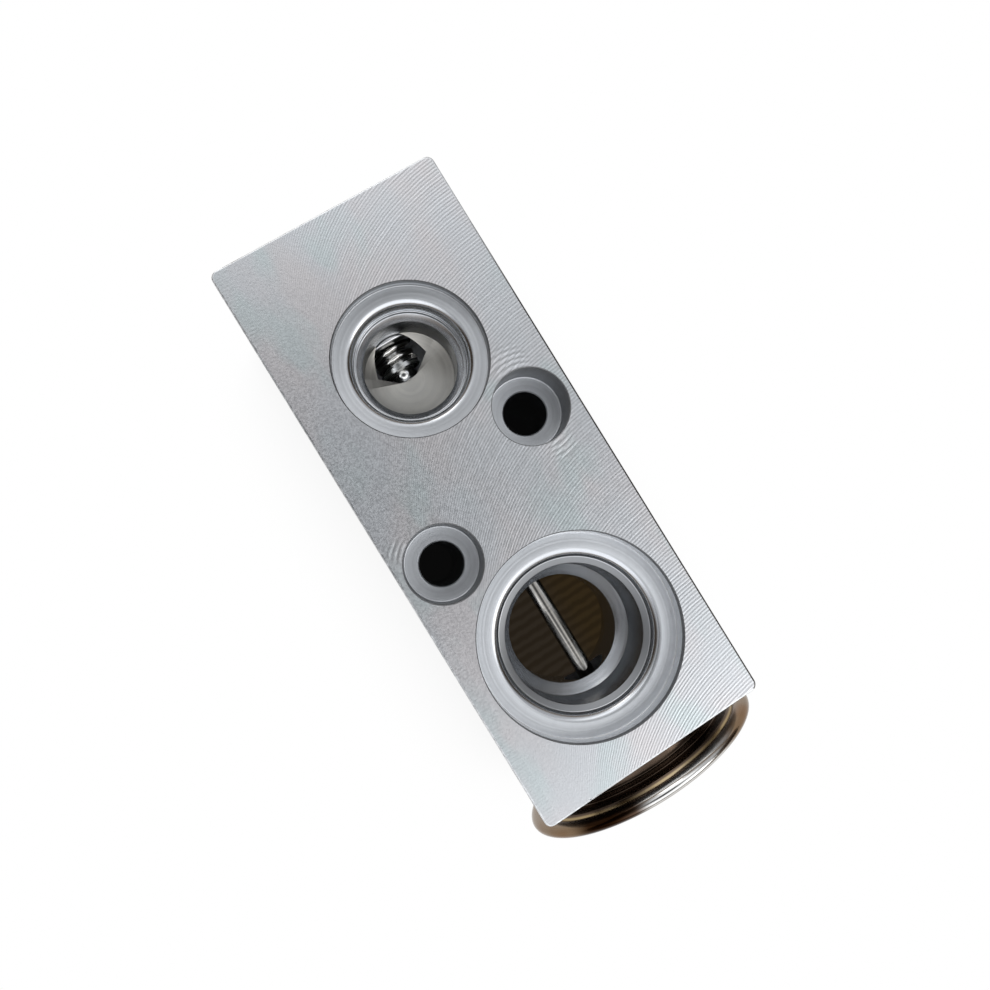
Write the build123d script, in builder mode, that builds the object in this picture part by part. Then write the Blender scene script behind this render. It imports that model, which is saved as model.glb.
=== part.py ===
from build123d import *
from math import degrees, pi, radians, sqrt, tan
import os

os.makedirs("parts", exist_ok=True)

# A block-type thermostatic expansion valve, lying on its back face with the ports up.
# Millimetres. Z is up, the valve axis runs along Y, and the power head is at the -Y end.
# A station is a distance along the valve axis from the block's adjuster end.
# A depth is a distance into the block from the face that a port opens on.

# Block
body_width = 35.0
body_depth = 36.0
body_length = 87.6
corner_radius = 1.1
edge_break = 0.3
bore_break = 0.25

# Mounting bolts, one on each side of the valve axis
bolt_pitch_x = 21.74
bolt_pitch_y = 12.2
bolt_centre_station = body_length / 2
bolt_hole_radius = 3.2
bolt_head_radius = 5.5
bolt_head_depth = 6.15

# Liquid inlet port, on the front
inlet_station = 23.55
inlet_face_radius = 10.93
inlet_floor_depth = 2.05
inlet_gland_radius = 8.1
inlet_lip_radius = 1.15
inlet_gland_depth = 4.8
inlet_ledge_width = 0.4
inlet_ledge_rise = 0.9
inlet_bore_radius = 6.76
inlet_bore_depth = 11.6
drill_point_angle = 118.0

# Liquid outlet port, on the back
outlet_station = 31.5
outlet_face_radius = 8.9
outlet_floor_depth = 1.6
outlet_bore_radius = 6.4
outlet_lip_radius = 0.9
outlet_bore_depth = 11.4
outlet_drill_radius = 2.7
outlet_drill_past_axis = 2.7

# Suction passage, the same port on the front and the back
suction_from_head = 19.35
suction_station = body_length - suction_from_head
suction_face_radius = 14.48
suction_floor_depth = 3.2
suction_gland_radius = 10.95
suction_lip_radius = 1.35
suction_bore_radius = 10.0
suction_ledge_rise = 0.4
suction_bore_depth = 13.0
suction_hole_radius = 8.25
suction_hole_depth = 14.4

# Valve seat and chamber
ball_radius = 2.0
orifice_radius = 1.6
seat_station = 23.2
seat_gap = 0.03
valve_lift = 0.9
chamber_radius = 6.7
chamber_cone_angle = 120.0
chamber_floor_radius = 3.5

# Operating rod and its seal
rod_radius = 1.35
rod_tip_radius = 0.8
rod_guide_clearance = 0.05
rod_seal_section = 1.5
rod_seal_clearance = 0.03
rod_pocket_depth = 4.6
retainer_thickness = 1.3
retainer_bore_clearance = 0.3
retainer_slot_count = 6
retainer_slot_width = 0.7
retainer_slot_depth = 0.6

# Spring and ball holder
spring_outer_radius = 3.4
spring_wire = 0.95
spring_length = 12.6
spring_active_turns = 6.0
spring_closed_turns = 1.0
spring_closed_gap = 0.03
holder_flange_radius = 3.3
holder_flange_thickness = 0.7
holder_spigot_length = 3.0
holder_spigot_clearance = 0.12
holder_cup_drop = 0.7
ball_cup_clearance = 0.02

# Adjusting screw and its seal
screw_recess = 1.4
screw_land_radius = 7.35
screw_land_length = 3.4
screw_thread_radius = 6.95
screw_thread_length = 7.2
screw_nose_radius = 6.2
screw_rim_station = 17.5
screw_cup_clearance = 0.5
screw_fit = 0.05
screw_travel = 1.0
screw_seal_section = 1.5
screw_seal_groove_width = 1.9
screw_seal_clearance = 0.02
socket_across_flats = 6.0
socket_depth = 4.0
mouth_chamfer = 0.6

# Power head
rim_radius = 19.4
hub_radius = 12.0
hub_length = 7.2
hub_fit = 0.05
hub_chamfer = 0.6
hub_bore_radius = 9.0
hub_floor_gap = 0.4
head_opening_radius = 3.5
head_seal_section = 1.7
collar_to_rim = 5.2
collar_radius = rim_radius - collar_to_rim
collar_height = 2.4
underside_flat = 1.3
underside_rise = 0.9
rim_rise = 1.15
rim_bead_radius = 1.0
rim_crease_inset = 0.65
rim_lip_width = 1.2
rim_slot_clearance = 0.05
diaphragm_drop = 0.1
plate_side_clearance = 0.6
cover_sheet = 0.7
cover_flange_width = 2.6
cover_wall_height = 0.8
cover_shoulder_drop = 0.7
cover_shoulder_run = 3.6
cover_crown = 2.7
diaphragm_sheet = 0.15
diaphragm_wave_width = 1.3
diaphragm_wave_height = 0.35
diaphragm_wave_count = 3
plate_to_rim = 6.8
plate_radius = rim_radius - plate_to_rim
plate_thickness = 1.4
plate_boss_radius = 3.6
plate_boss_length = 5.8
plate_socket_depth = 3.0
plate_stop_gap = 0.15
plate_gap = 0.05
charge_hole_radius = 1.2
charge_plug_radius = 2.3
charge_plug_height = 1.5
charge_plug_top_radius = 0.77
charge_plug_shoulder_radius = 1.88
charge_plug_shoulder_height = 1.02

# How near an edge has to be to the place it is picked at
pick_tolerance = 1e-3

# Stations and heights that follow from the sizes above
ball_station = seat_station - sqrt(ball_radius**2 - orifice_radius**2) - seat_gap
collar_top_station = body_length + collar_height
dish_edge_station = collar_top_station + underside_rise
rim_station = dish_edge_station + rim_rise
diaphragm_station = rim_station - diaphragm_drop
plate_top_station = diaphragm_station - plate_gap
plate_bottom_station = plate_top_station - plate_thickness
flange_station = diaphragm_station + diaphragm_sheet
cover_top_station = flange_station + cover_wall_height + cover_shoulder_drop + cover_sheet + cover_crown
plug_top_station = cover_top_station + charge_plug_height
total_length = plug_top_station
end_y = total_length / 2
axis_z = max(rim_radius, body_depth / 2)
front_z = axis_z + body_depth / 2
back_z = axis_z - body_depth / 2

# The half plane through the valve axis: local X is the radius, local Y is the station
valve_plane = Plane(origin=(0, end_y, axis_z), x_dir=(1, 0, 0), z_dir=(0, 0, -1))
valve_axis = Axis((0, end_y, axis_z), (0, -1, 0))


def port_plane(station, face_z):
    """The half plane through a port's axis: local X is the radius, local Y is the depth."""
    towards_back = 1 if face_z > axis_z else -1
    return Plane(origin=(0, end_y - station, face_z), x_dir=(1, 0, 0), z_dir=(0, towards_back, 0))


def cut_port(station, face_z, outline):
    """Cuts the round port that an outline function draws on the port's half plane."""
    plane = port_plane(station, face_z)
    with BuildSketch(plane) as port:
        with BuildLine():
            outline()
        make_face()
    revolve(port.sketch, axis=Axis(plane.origin, plane.y_dir), mode=Mode.SUBTRACT)


def point_depth(radius, angle):
    """How deep a drill point of this radius and full angle goes."""
    return radius / tan(radians(angle / 2))


def lip_arc(radius, depth, lip):
    """The rounded lip from a counterbore's floor into a bore."""
    turn = lip * (1 - sqrt(0.5))
    start = (radius + lip, depth)
    middle = (radius + turn, depth + turn)
    end = (radius, depth + lip)
    ThreePointArc(start, middle, end)
    return start, end


def inlet_outline():
    """Liquid inlet: counterbore, rounded lip, O-ring gland, sloping ledge, drilled bore."""
    start, end = lip_arc(inlet_gland_radius, inlet_floor_depth, inlet_lip_radius)
    tip_depth = inlet_bore_depth + point_depth(inlet_bore_radius, drill_point_angle)
    ledge_radius = inlet_bore_radius + inlet_ledge_rise
    Polyline((0, 0), (inlet_face_radius, 0), (inlet_face_radius, inlet_floor_depth), start)
    Polyline(
        end,
        (ledge_radius + inlet_ledge_width, inlet_gland_depth),
        (ledge_radius, inlet_gland_depth),
        (inlet_bore_radius, inlet_gland_depth + inlet_ledge_rise),
        (inlet_bore_radius, inlet_bore_depth),
        (0, tip_depth),
        (0, 0),
    )


def outlet_outline():
    """Liquid outlet: counterbore, rounded lip, drilled bore, smaller drilling past the axis."""
    start, end = lip_arc(outlet_bore_radius, outlet_floor_depth, outlet_lip_radius)
    point = point_depth(outlet_bore_radius - outlet_drill_radius, drill_point_angle)
    drill_depth = body_depth / 2 + outlet_drill_past_axis
    Polyline((0, 0), (outlet_face_radius, 0), (outlet_face_radius, outlet_floor_depth), start)
    Polyline(
        end,
        (outlet_bore_radius, outlet_bore_depth),
        (outlet_drill_radius, outlet_bore_depth + point),
        (outlet_drill_radius, drill_depth),
        (0, drill_depth),
        (0, 0),
    )


def suction_outline():
    """Suction port: counterbore, rounded lip, sloping ledge, bore, slope into the through hole."""
    start, end = lip_arc(suction_gland_radius, suction_floor_depth, suction_lip_radius)
    Polyline((0, 0), (suction_face_radius, 0), (suction_face_radius, suction_floor_depth), start)
    Polyline(
        end,
        (suction_bore_radius, suction_floor_depth + suction_lip_radius + suction_ledge_rise),
        (suction_bore_radius, suction_bore_depth),
        (suction_hole_radius, suction_hole_depth),
        (suction_hole_radius, body_depth / 2),
        (0, body_depth / 2),
        (0, 0),
    )


# Rod guide: the seal pocket opens into the near wall of the suction passage
passage_wall_station = suction_station - suction_hole_radius
pocket_floor_station = passage_wall_station - rod_pocket_depth
pocket_radius = rod_radius + rod_seal_clearance + rod_seal_section
guide_radius = rod_radius + rod_guide_clearance

# Head bore: the hub screws in, and its floor opens into the far wall of the suction passage
hub_end_station = body_length - hub_length
head_floor_station = hub_end_station - hub_floor_gap
head_bore_radius = hub_radius + hub_fit
head_groove_radius = head_bore_radius + head_seal_section

# Adjuster bore: a smooth mouth for the seal, then the thread, then the spring chamber
screw_mouth_radius = screw_land_radius + screw_fit
screw_mouth_length = screw_recess + screw_land_length + screw_travel + screw_fit
screw_bore_radius = screw_thread_radius + screw_fit
screw_thread_end = screw_recess + screw_land_length + screw_thread_length
screw_bore_end = screw_thread_end + screw_travel + screw_fit
chamber_cone_length = (chamber_radius - chamber_floor_radius) / tan(radians(chamber_cone_angle / 2))

with BuildPart() as valve_body:
    with BuildSketch(Plane.XY.offset(back_z)):
        with Locations((0, end_y - body_length / 2)):
            RectangleRounded(body_width, body_length, corner_radius)
    extrude(amount=body_depth)
    chamfer(valve_body.faces().sort_by(Axis.Z)[-1].edges(), edge_break)
    chamfer(valve_body.faces().sort_by(Axis.Z)[0].edges(), edge_break)
    # Bolt holes with flat counterbores for the screw heads
    bolt_centre_y = end_y - bolt_centre_station
    with Locations(
        (bolt_pitch_x / 2, bolt_centre_y + bolt_pitch_y / 2, front_z),
        (-bolt_pitch_x / 2, bolt_centre_y - bolt_pitch_y / 2, front_z),
    ):
        CounterBoreHole(bolt_hole_radius, bolt_head_radius, bolt_head_depth, body_depth)
    bolt_mouths = (
        valve_body.edges()
        .filter_by(GeomType.CIRCLE)
        .filter_by(lambda edge: abs(edge.radius - bolt_head_radius) < pick_tolerance)
        .filter_by_position(Axis.Z, front_z - pick_tolerance, front_z + pick_tolerance)
    )
    chamfer(bolt_mouths, bore_break)
    # Ports
    cut_port(inlet_station, front_z, inlet_outline)
    cut_port(outlet_station, back_z, outlet_outline)
    cut_port(suction_station, front_z, suction_outline)
    cut_port(suction_station, back_z, suction_outline)
    # Adjuster bore and spring chamber
    with BuildSketch(valve_plane):
        with BuildLine():
            Polyline(
                (0, 0),
                (screw_mouth_radius + mouth_chamfer, 0),
                (screw_mouth_radius, mouth_chamfer),
                (screw_mouth_radius, screw_mouth_length),
                (screw_bore_radius, screw_mouth_length),
                (screw_bore_radius, screw_bore_end),
                (chamber_radius, screw_bore_end),
                (chamber_radius, seat_station - chamber_cone_length),
                (chamber_floor_radius, seat_station),
                (0, seat_station),
                close=True,
            )
        make_face()
    revolve(axis=valve_axis, mode=Mode.SUBTRACT)
    # Orifice, rod guide and seal pocket
    with BuildSketch(valve_plane):
        with BuildLine():
            Polyline(
                (0, seat_station),
                (orifice_radius, seat_station),
                (orifice_radius, outlet_station),
                (guide_radius, outlet_station),
                (guide_radius, pocket_floor_station),
                (pocket_radius, pocket_floor_station),
                (pocket_radius, suction_station),
                (0, suction_station),
                close=True,
            )
        make_face()
    revolve(axis=valve_axis, mode=Mode.SUBTRACT)
    # Head bore, its seal groove and the opening down to the suction passage
    with BuildSketch(valve_plane):
        with BuildLine():
            Polyline(
                (0, suction_station),
                (head_opening_radius, suction_station),
                (head_opening_radius, head_floor_station),
                (head_bore_radius, head_floor_station),
                (head_bore_radius, body_length - head_seal_section),
                (head_groove_radius, body_length - head_seal_section),
                (head_groove_radius, body_length),
                (0, body_length),
                close=True,
            )
        make_face()
    revolve(axis=valve_axis, mode=Mode.SUBTRACT)
valve_body.part.label = "valve_body"
export_step(valve_body.part, "parts/valve_body.step")

# Lower housing: threaded hub, collar on the block, dished underside, rim rolled over the cover
flat_edge_radius = collar_radius + underside_flat
bead_centre_radius = rim_radius - rim_bead_radius
crease_radius = bead_centre_radius - rim_crease_inset
crease_station = rim_station - sqrt(rim_bead_radius**2 - rim_crease_inset**2)
slot_radius = bead_centre_radius + rim_slot_clearance
slot_top_station = flange_station + cover_sheet
shelf_radius = bead_centre_radius - rim_lip_width
cavity_radius = plate_radius + plate_side_clearance
cavity_floor_station = plate_bottom_station - valve_lift - plate_stop_gap

with BuildPart() as lower_housing:
    with BuildSketch(valve_plane):
        with BuildLine():
            Polyline(
                (hub_bore_radius, hub_end_station),
                (hub_radius - hub_chamfer, hub_end_station),
                (hub_radius, hub_end_station + hub_chamfer),
                (hub_radius, body_length),
                (collar_radius, body_length),
                (collar_radius, collar_top_station),
                (flat_edge_radius, collar_top_station),
                (crease_radius, dish_edge_station),
                (crease_radius, crease_station),
            )
            ThreePointArc(
                (crease_radius, crease_station),
                (rim_radius, rim_station),
                (bead_centre_radius, rim_station + rim_bead_radius),
            )
            Polyline(
                (bead_centre_radius, rim_station + rim_bead_radius),
                (shelf_radius, rim_station + rim_bead_radius),
                (shelf_radius, slot_top_station),
                (slot_radius, slot_top_station),
                (slot_radius, diaphragm_station),
                (shelf_radius, diaphragm_station),
                (cavity_radius, dish_edge_station),
                (cavity_radius, cavity_floor_station),
                (hub_bore_radius, cavity_floor_station),
                (hub_bore_radius, hub_end_station),
            )
        make_face()
    revolve(axis=valve_axis)
lower_housing.part.label = "lower_housing"
export_step(lower_housing.part, "parts/lower_housing.step")

# Cover: a drawn cap with a flat flange that the rim holds, and a hole for the charge
cover_radius = slot_radius - cover_flange_width
cover_wall_station = flange_station + cover_wall_height
flange_radius = slot_radius - hub_fit


def cover_line(inset):
    """The cap's wall, shoulder and crown, drawn this far inside its outer skin."""
    wall_radius = cover_radius - inset
    run = cover_shoulder_run - inset
    drop = cover_shoulder_drop + cover_sheet - inset
    crown_station = cover_top_station - inset
    wall_end = (wall_radius, cover_wall_station)
    shoulder_middle = (wall_radius - run * (1 - sqrt(0.5)), cover_wall_station + drop * sqrt(0.5))
    shoulder_end = (wall_radius - run, cover_wall_station + drop)
    crown_middle = ((wall_radius - run) / 2, crown_station - cover_crown / 4)
    crown_end = (charge_hole_radius, crown_station)
    Line((wall_radius, flange_station + cover_sheet - inset), wall_end)
    ThreePointArc(wall_end, shoulder_middle, shoulder_end)
    ThreePointArc(shoulder_end, crown_middle, crown_end)


with BuildPart() as head_cover:
    with BuildSketch(valve_plane):
        with BuildLine():
            cover_line(0)
            cover_line(cover_sheet)
            Line(
                (charge_hole_radius, cover_top_station - cover_sheet),
                (charge_hole_radius, cover_top_station),
            )
            Polyline(
                (cover_radius, flange_station + cover_sheet),
                (flange_radius, flange_station + cover_sheet),
                (flange_radius, flange_station),
                (cover_radius - cover_sheet, flange_station),
            )
        make_face()
    revolve(axis=valve_axis)
head_cover.part.label = "head_cover"
export_step(head_cover.part, "parts/head_cover.step")

# Charge plug: welded over the charge hole
with BuildPart() as charge_plug:
    with BuildSketch(valve_plane):
        with BuildLine():
            Polyline(
                (charge_plug_radius, cover_top_station),
                (0, cover_top_station),
                (0, plug_top_station),
                (charge_plug_top_radius, plug_top_station),
            )
            ThreePointArc(
                (charge_plug_top_radius, plug_top_station),
                (charge_plug_shoulder_radius, cover_top_station + charge_plug_shoulder_height),
                (charge_plug_radius, cover_top_station),
            )
        make_face()
    revolve(axis=valve_axis)
charge_plug.part.label = "charge_plug"
export_step(charge_plug.part, "parts/charge_plug.step")

# Diaphragm: a thin disc with ring-shaped waves, held at its edge under the cover's flange
wave_start_radius = plate_radius - diaphragm_wave_count * diaphragm_wave_width

with BuildPart() as diaphragm:
    with BuildSketch(valve_plane):
        with BuildLine():
            for level in (diaphragm_station, diaphragm_station + diaphragm_sheet):
                Line((0, level), (wave_start_radius, level))
                for wave in range(diaphragm_wave_count):
                    inner = wave_start_radius + wave * diaphragm_wave_width
                    outer = inner + diaphragm_wave_width
                    crest = level + diaphragm_wave_height
                    ThreePointArc((inner, level), ((inner + outer) / 2, crest), (outer, level))
                Line((plate_radius, level), (flange_radius, level))
            for radius in (0, flange_radius):
                Line((radius, diaphragm_station), (radius, diaphragm_station + diaphragm_sheet))
        make_face()
    revolve(axis=valve_axis)
diaphragm.part.label = "diaphragm"
export_step(diaphragm.part, "parts/diaphragm.step")

# Push plate: the disc under the diaphragm, with a socketed boss on the rod
boss_end_station = plate_bottom_station - plate_boss_length
rod_top_station = boss_end_station + plate_socket_depth
rod_end_station = ball_station + ball_radius
rod_neck_station = outlet_station - orifice_radius

with BuildPart() as push_plate:
    with BuildSketch(valve_plane):
        with BuildLine():
            Polyline(
                (rod_radius, boss_end_station),
                (plate_boss_radius, boss_end_station),
                (plate_boss_radius, plate_bottom_station),
                (plate_radius, plate_bottom_station),
                (plate_radius, plate_top_station),
                (0, plate_top_station),
                (0, rod_top_station),
                (rod_radius, rod_top_station),
                close=True,
            )
        make_face()
    revolve(axis=valve_axis)
push_plate.part.label = "push_plate"
export_step(push_plate.part, "parts/push_plate.step")

# Operating rod: crosses the suction passage and pushes the ball through the orifice
with BuildPart() as operating_rod:
    with BuildSketch(valve_plane):
        with BuildLine():
            Polyline(
                (0, rod_end_station),
                (rod_tip_radius, rod_end_station),
                (rod_tip_radius, rod_neck_station - (rod_radius - rod_tip_radius)),
                (rod_radius, rod_neck_station),
                (rod_radius, rod_top_station),
                (0, rod_top_station),
                close=True,
            )
        make_face()
    revolve(axis=valve_axis)
operating_rod.part.label = "operating_rod"
export_step(operating_rod.part, "parts/operating_rod.step")


def o_ring(inner_radius, section, station):
    """An O-ring round the valve axis, centred at a station."""
    with BuildSketch(valve_plane) as ring:
        with Locations((inner_radius + section / 2, station)):
            Circle(section / 2)
    revolve(ring.sketch, axis=valve_axis)


# Seals
with BuildPart() as rod_seal:
    o_ring(
        rod_radius + rod_seal_clearance,
        rod_seal_section,
        pocket_floor_station + rod_seal_section / 2,
    )
rod_seal.part.label = "rod_seal"
export_step(rod_seal.part, "parts/rod_seal.step")

with BuildPart() as head_seal:
    o_ring(head_bore_radius, head_seal_section, body_length - head_seal_section / 2)
head_seal.part.label = "head_seal"
export_step(head_seal.part, "parts/head_seal.step")

screw_seal_outer = screw_mouth_radius - screw_seal_clearance
screw_groove_radius = screw_seal_outer - screw_seal_section
screw_groove_station = screw_recess + screw_land_length / 2

with BuildPart() as screw_seal:
    o_ring(screw_groove_radius, screw_seal_section, screw_groove_station)
screw_seal.part.label = "screw_seal"
export_step(screw_seal.part, "parts/screw_seal.step")

# Seal retainer: a slotted push-in washer over the rod seal
retainer_station = pocket_floor_station + rod_seal_section

with BuildPart() as seal_retainer:
    with BuildSketch(valve_plane):
        with Locations((rod_radius + retainer_bore_clearance, retainer_station)):
            Rectangle(
                pocket_radius - rod_radius - retainer_bore_clearance,
                retainer_thickness,
                align=(Align.MIN, Align.MIN),
            )
    revolve(axis=valve_axis)
    with BuildSketch(Plane(origin=(0, end_y - retainer_station, axis_z), z_dir=(0, -1, 0))):
        with PolarLocations(pocket_radius, retainer_slot_count):
            Rectangle(2 * retainer_slot_depth, retainer_slot_width)
    extrude(amount=retainer_thickness, mode=Mode.SUBTRACT)
seal_retainer.part.label = "seal_retainer"
export_step(seal_retainer.part, "parts/seal_retainer.step")

# Ball
with BuildPart() as valve_ball:
    with Locations((0, end_y - ball_station, axis_z)):
        Sphere(ball_radius)
valve_ball.part.label = "valve_ball"
export_step(valve_ball.part, "parts/valve_ball.step")

# Ball holder: a flange on the spring, a spigot inside it and a cup for the ball
spring_mean_radius = spring_outer_radius - spring_wire / 2
spring_inner_radius = spring_outer_radius - spring_wire
spigot_radius = spring_inner_radius - holder_spigot_clearance
cup_radius = ball_radius + ball_cup_clearance
holder_top_station = ball_station - holder_cup_drop
flange_bottom_station = holder_top_station - holder_flange_thickness
spigot_end_station = flange_bottom_station - holder_spigot_length

with BuildPart() as ball_holder:
    with BuildSketch(valve_plane):
        with BuildLine():
            Polyline(
                (0, spigot_end_station),
                (spigot_radius, spigot_end_station),
                (spigot_radius, flange_bottom_station),
                (holder_flange_radius, flange_bottom_station),
                (holder_flange_radius, holder_top_station),
                (0, holder_top_station),
                close=True,
            )
        make_face()
    revolve(axis=valve_axis)
    with Locations((0, end_y - ball_station, axis_z)):
        Sphere(cup_radius, mode=Mode.SUBTRACT)
ball_holder.part.label = "ball_holder"
export_step(ball_holder.part, "parts/ball_holder.step")

# Spring: open coils between a closed coil at each end
spring_top_station = flange_bottom_station
spring_floor_station = spring_top_station - spring_length
closed_pitch = spring_wire + spring_closed_gap
closed_height = closed_pitch * spring_closed_turns
active_height = spring_length - spring_wire - 2 * closed_height
active_pitch = active_height / spring_active_turns


def coil(start_station, pitch, height, turns_before):
    """One stretch of the spring, swept from a wire circle along a helix."""
    with BuildLine() as helix:
        Helix(
            pitch=pitch,
            height=height,
            radius=spring_mean_radius,
            center=(0, end_y - start_station, axis_z),
            direction=(0, -1, 0),
        )
    path = helix.line.rotate(valve_axis, degrees(2 * pi * turns_before))
    with BuildSketch(Plane(origin=path @ 0, z_dir=path % 0)) as wire:
        Circle(spring_wire / 2)
    sweep(wire.sketch, path=path, is_frenet=True)


first_coil_station = spring_floor_station + spring_wire / 2
with BuildPart() as valve_spring:
    coil(first_coil_station, closed_pitch, closed_height, 0)
    coil(first_coil_station + closed_height, active_pitch, active_height, spring_closed_turns)
    coil(
        first_coil_station + closed_height + active_height,
        closed_pitch,
        closed_height,
        spring_closed_turns + spring_active_turns,
    )
valve_spring.part.label = "valve_spring"
export_step(valve_spring.part, "parts/valve_spring.step")

# Adjusting screw: sealed land, thread, and a cup that holds the spring
cup_bore_radius = spring_outer_radius + screw_cup_clearance
land_end_station = screw_recess + screw_land_length
groove_near_station = screw_groove_station - screw_seal_groove_width / 2
groove_far_station = screw_groove_station + screw_seal_groove_width / 2

with BuildPart() as adjusting_screw:
    with BuildSketch(valve_plane):
        with BuildLine():
            Polyline(
                (0, screw_recess),
                (screw_land_radius - edge_break, screw_recess),
                (screw_land_radius, screw_recess + edge_break),
                (screw_land_radius, groove_near_station),
                (screw_groove_radius, groove_near_station),
                (screw_groove_radius, groove_far_station),
                (screw_land_radius, groove_far_station),
                (screw_land_radius, land_end_station),
                (screw_thread_radius, land_end_station),
                (screw_thread_radius, screw_thread_end),
                (screw_nose_radius, screw_thread_end),
                (screw_nose_radius, screw_rim_station - edge_break),
                (screw_nose_radius - edge_break, screw_rim_station),
                (cup_bore_radius, screw_rim_station),
                (cup_bore_radius, spring_floor_station),
                (0, spring_floor_station),
                close=True,
            )
        make_face()
    revolve(axis=valve_axis)
    with BuildSketch(Plane(origin=(0, end_y - screw_recess, axis_z), z_dir=(0, -1, 0))):
        RegularPolygon(socket_across_flats / 2, 6, major_radius=False)
    extrude(amount=socket_depth, mode=Mode.SUBTRACT)
adjusting_screw.part.label = "adjusting_screw"
export_step(adjusting_screw.part, "parts/adjusting_screw.step")
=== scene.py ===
"""A block-type expansion valve, lying on its back face: looks, light and camera.

Lengths are millimetres until a mesh is finished, and metres in Blender. A station is a distance
along the valve axis from the block's adjuster end, and a depth goes into the block from a face.
"""

from math import acos, atan2, cos, pi, radians, sin, sqrt, tan

import bmesh
import bpy
from mathutils import Matrix, Vector


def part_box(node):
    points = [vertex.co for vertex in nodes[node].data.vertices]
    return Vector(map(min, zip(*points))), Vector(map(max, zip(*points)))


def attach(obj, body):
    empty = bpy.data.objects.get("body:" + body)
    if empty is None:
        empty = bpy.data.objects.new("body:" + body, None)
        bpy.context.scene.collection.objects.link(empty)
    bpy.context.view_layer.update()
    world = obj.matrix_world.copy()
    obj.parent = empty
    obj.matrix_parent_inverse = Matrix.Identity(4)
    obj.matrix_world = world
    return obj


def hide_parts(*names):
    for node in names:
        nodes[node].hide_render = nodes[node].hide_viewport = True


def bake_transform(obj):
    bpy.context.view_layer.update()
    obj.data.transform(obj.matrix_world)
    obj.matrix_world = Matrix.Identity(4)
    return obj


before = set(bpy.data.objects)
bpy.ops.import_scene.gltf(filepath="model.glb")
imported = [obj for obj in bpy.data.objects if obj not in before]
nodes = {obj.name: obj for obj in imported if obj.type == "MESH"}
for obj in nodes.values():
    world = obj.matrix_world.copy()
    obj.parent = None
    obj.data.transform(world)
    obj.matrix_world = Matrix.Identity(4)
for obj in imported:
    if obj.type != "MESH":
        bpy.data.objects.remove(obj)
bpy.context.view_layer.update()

MM = 0.001

# Sizes shared with the CAD model
block_low, block_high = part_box("valve_body")
BACK_Z, FRONT_Z = block_low.z / MM, block_high.z / MM
HALF_WIDTH = block_high.x / MM
END_Y = block_high.y / MM
LENGTH = (block_high.y - block_low.y) / MM
DEPTH = FRONT_Z - BACK_Z
AXIS_Z = (FRONT_Z + BACK_Z) / 2

CORNER_RADIUS = 1.1
EDGE_BREAK = 0.3
FINE_BREAK = 0.12
DRILL_ANGLE = 118
CUTTER_REACH = 1.0

BOLTS = ((10.87, 37.7), (-10.87, 49.9))
BOLT_RADIUS, BOLT_HEAD_RADIUS, BOLT_HEAD_DEPTH = 3.2, 5.5, 6.15

INLET_STATION, OUTLET_STATION, SUCTION_STATION = 23.55, 31.5, 68.25
INLET_FLOOR, OUTLET_FLOOR, SUCTION_FLOOR = 2.05, 1.6, 3.2
INLET_BORE_DEPTH = 11.6
SUCTION_FACE_RADIUS, SUCTION_GLAND_RADIUS = 14.48, 10.95
SUCTION_BORE_RADIUS, SUCTION_HOLE_RADIUS = 10.0, 8.25
HUB_DEPTH = 7.2
SEAT_STATION = 23.2
BALL_RADIUS, ORIFICE_RADIUS, SEAT_GAP = 2.0, 1.6, 0.03
BALL_STATION = SEAT_STATION - sqrt(BALL_RADIUS**2 - ORIFICE_RADIUS**2) - SEAT_GAP
ROD_RADIUS = 1.35

SPRING_OUTER, SPRING_WIRE, SPRING_LENGTH = 3.4, 0.95, 12.6
BALL_SEAT, HOLDER_FLANGE = 0.7, 0.7
HOLDER_TOP = BALL_STATION - BALL_SEAT
SPRING_TOP = HOLDER_TOP - HOLDER_FLANGE
SPRING_FLOOR = SPRING_TOP - SPRING_LENGTH
SPRING_TURNS = 8.0

CHAMBER_RADIUS, CHAMBER_FLOOR_RADIUS = 6.7, 3.5
SCREW_RECESS, SCREW_RIM_STATION, SCREW_NOSE_RADIUS = 1.4, 17.5, 6.2


# Mesh helpers
def along(origin, direction):
    """A frame whose local Z runs along direction from origin, in millimetres."""
    z = Vector(direction).normalized()
    x = Vector((1, 0, 0)) if abs(z.x) < 0.9 else Vector((0, 1, 0))
    y = z.cross(x).normalized()
    x = y.cross(z)
    place = Matrix((x, y, z)).transposed().to_4x4()
    place.translation = Vector(origin)
    return place


VALVE_AXIS = along((0, END_Y, AXIS_Z), (0, -1, 0))


def front(station, x=0.0):
    """A frame at a point of the front face, with Z as the depth."""
    return along((x, END_Y - station, FRONT_Z), (0, 0, -1))


def back(station):
    """A frame on the middle line of the back face, with Z as the depth."""
    return along((0, END_Y - station, BACK_Z), (0, 0, 1))


def mesh_object(name, bm, material, sharp=32):
    """A finished mesh object in metres, smooth up to the sharp angle."""
    mesh = bpy.data.meshes.new(name)
    bmesh.ops.recalc_face_normals(bm, faces=bm.faces)
    bm.to_mesh(mesh)
    bm.free()
    mesh.transform(Matrix.Scale(MM, 4))
    obj = bpy.data.objects.new(name, mesh)
    bpy.context.scene.collection.objects.link(obj)
    mesh.materials.append(material)
    smooth(mesh, sharp)
    return obj


def smooth(mesh, sharp=32):
    """Smooth shading that breaks at the sharp angle."""
    mesh.shade_smooth()
    mesh.set_sharp_from_angle(angle=radians(sharp))


def flatten(obj):
    """Keeps large faces flat beside their small rounded edges."""
    weighted = obj.modifiers.new("weighted", "WEIGHTED_NORMAL")
    weighted.mode = "FACE_AREA"
    weighted.weight = 80
    weighted.keep_sharp = True


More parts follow.
